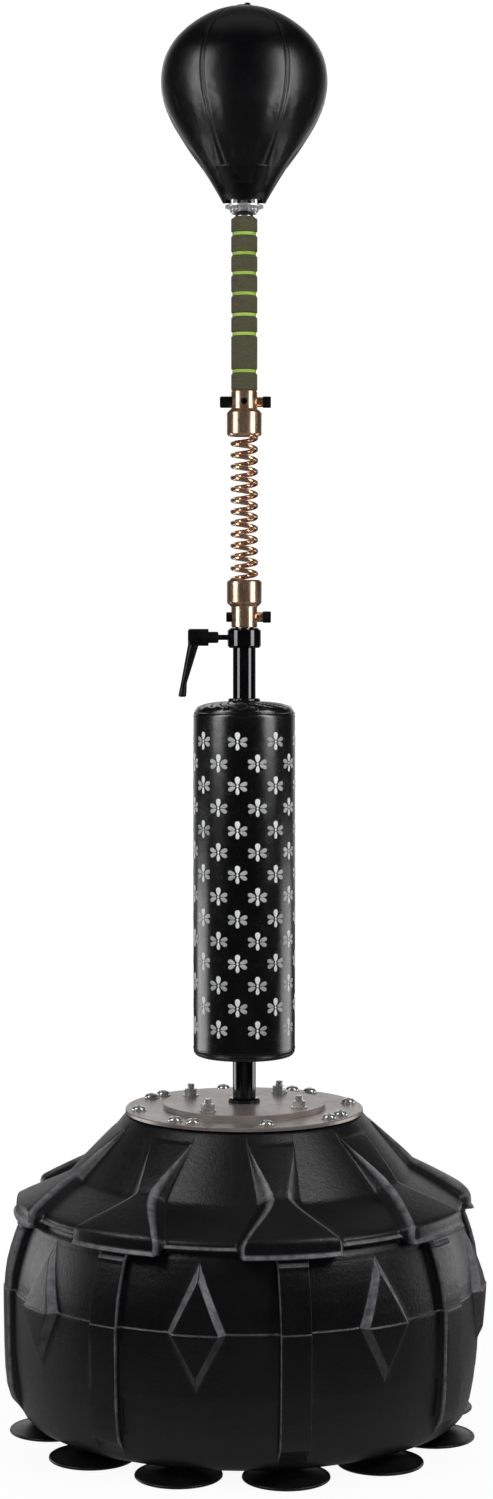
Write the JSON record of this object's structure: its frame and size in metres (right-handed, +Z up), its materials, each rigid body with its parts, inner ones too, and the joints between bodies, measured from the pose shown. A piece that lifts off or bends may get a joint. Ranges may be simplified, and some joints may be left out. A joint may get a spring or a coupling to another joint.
{
  "type": "reflex bag stand",
  "caption": "Free-standing reflex bag: round water-filled base on suction cups, height-adjustable pole with padded sleeve, coil-spring joint and pear-shaped leather ball.",
  "frame": {"origin": "on the floor under the suction cups' lips, at the pole's axis", "axes": "+Z up along the pole; the clamp lever points to -X and the cross bolts lie along X"},
  "size_m": [0.5286, 0.5286, 1.563],
  "materials": {
    "tank_plastic": "satin",
    "ballast": "gloss",
    "cup_rubber": "satin",
    "gasket_rubber": "matte",
    "plate_steel": "satin",
    "zinc_steel": "satin",
    "brass": "satin",
    "pole_gloss": "gloss",
    "bush_nylon": "satin",
    "target_leather": "gloss",
    "sleeve_foam": "matte",
    "black_oxide": "satin",
    "spring_steel": "satin",
    "copper_chrome": "gloss",
    "chrome": "gloss",
    "grip_foam": "matte",
    "band_green": "satin",
    "plug_plastic": "gloss",
    "boot_rubber": "satin",
    "plate_inner": "satin",
    "ball_leather": "gloss",
    "bladder_rubber": "matte"
  },
  "bodies": {
    "base": {"base_tank": "tank_plastic", "water_fill": "ballast", "suction_cups": "cup_rubber", "lid_gasket": "gasket_rubber", "lid_plate": "plate_steel", "lid_inserts": "brass", "lid_washers": "zinc_steel", "lid_screws": "zinc_steel", "pole_flange": "plate_steel", "flange_studs": "zinc_steel", "flange_washers": "zinc_steel", "flange_nuts": "zinc_steel", "pole_foot_ring": "pole_gloss", "outer_pole": "pole_gloss", "guide_bush": "bush_nylon", "target_liner": "bush_nylon", "target_foam": "sleeve_foam", "target_cover": "target_leather", "target_top_ring": "target_leather", "clamp_collar": "pole_gloss", "collar_grub_screw": "black_oxide"},
    "clamp_follower": {"clamp_pad": "brass"},
    "clamp_screw": {"lever_stud": "black_oxide", "lever_insert": "black_oxide", "lever_cap_screw": "black_oxide", "lever_return_spring": "spring_steel"},
    "clamp_lever": {"lever_handle": "black_oxide"},
    "mast": {"inner_tube": "chrome", "tube_foot_bush": "bush_nylon", "lower_coupler": "copper_chrome", "lower_bolt": "black_oxide", "lower_nut": "black_oxide"},
    "spring": {"reflex_spring": "copper_chrome"},
    "head": {"upper_coupler": "copper_chrome", "upper_bolt": "black_oxide", "upper_nut": "black_oxide", "upper_set_screw": "black_oxide", "upper_rod": "chrome", "grip_foam": "grip_foam", "grip_bands": "band_green", "rod_end_plug": "plug_plastic", "mount_stud": "chrome", "mount_flange": "chrome", "mount_spacers": "chrome", "mount_bolts": "chrome", "mount_nuts": "chrome", "ball_boot": "boot_rubber", "ball_backing_plate": "plate_inner", "ball_cover": "ball_leather", "ball_bladder": "bladder_rubber", "ball_valve": "boot_rubber"}
  },
  "joints": [
    {"name": "height_slide", "type": "slide", "parent": "base", "child": "mast", "axis": [0, 0, 1], "range_m": [0, 0.35]},
    {"name": "spring_tilt_x", "type": "hinge", "parent": "mast", "child": "spring", "pos_m": [0, 0, 0.965], "axis": [1, 0, 0], "range_deg": [-45, 45], "stiffness_Nm_per_rad": 60, "deforming": ["reflex_spring"]},
    {"name": "spring_tilt_y", "type": "hinge", "parent": "spring", "child": "head", "pos_m": [0, 0, 1.044], "axis": [0, 1, 0], "range_deg": [-45, 45], "stiffness_Nm_per_rad": 60, "deforming": ["reflex_spring"]},
    {"name": "clamp_advance", "type": "slide", "parent": "base", "child": "clamp_follower", "axis": [-1, 0, 0], "range_m": [0, 0.001]},
    {"name": "clamp_turn", "type": "hinge", "parent": "clamp_follower", "child": "clamp_screw", "pos_m": [-0.0285, 0, 0.8623], "axis": [-1, 0, 0], "range_deg": [0, 360]},
    {"name": "lever_lift", "type": "slide", "parent": "clamp_screw", "child": "clamp_lever", "axis": [-1, 0, 0], "range_m": [0, 0.004], "stiffness_N_per_m": 1500, "deforming": ["lever_return_spring"]}
  ],
  "couplings": [
    {"joint": "clamp_advance", "follows": "clamp_turn", "m_per_rad": 0.00015915}
  ]
}
